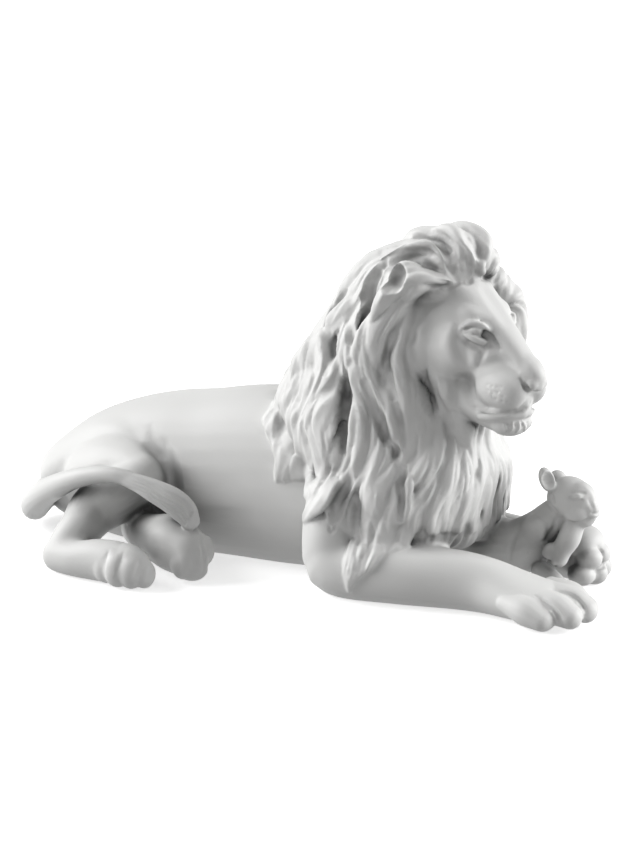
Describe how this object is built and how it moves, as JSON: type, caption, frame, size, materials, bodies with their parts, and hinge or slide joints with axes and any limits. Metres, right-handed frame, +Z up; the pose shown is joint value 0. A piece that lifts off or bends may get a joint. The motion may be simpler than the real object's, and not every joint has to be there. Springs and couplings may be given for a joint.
{
  "type": "lion and cub figurine",
  "caption": "White porcelain figurine of a lying maned lion with a small cub asleep between its fore paws, cast in one piece.",
  "frame": {"origin": "middle of the bounding box's underside, on the surface the figurine stands on", "axes": "+X is the way the lion's body faces, +Y is its left side, away from the picture's viewer, and +Z is up"},
  "size_m": [0.4, 0.1892, 0.2092],
  "materials": {
    "porcelain": "unglazed white porcelain with a soft sheen"
  },
  "bodies": {
    "root": {"lion_and_cub": "porcelain"}
  },
  "joints": []
}
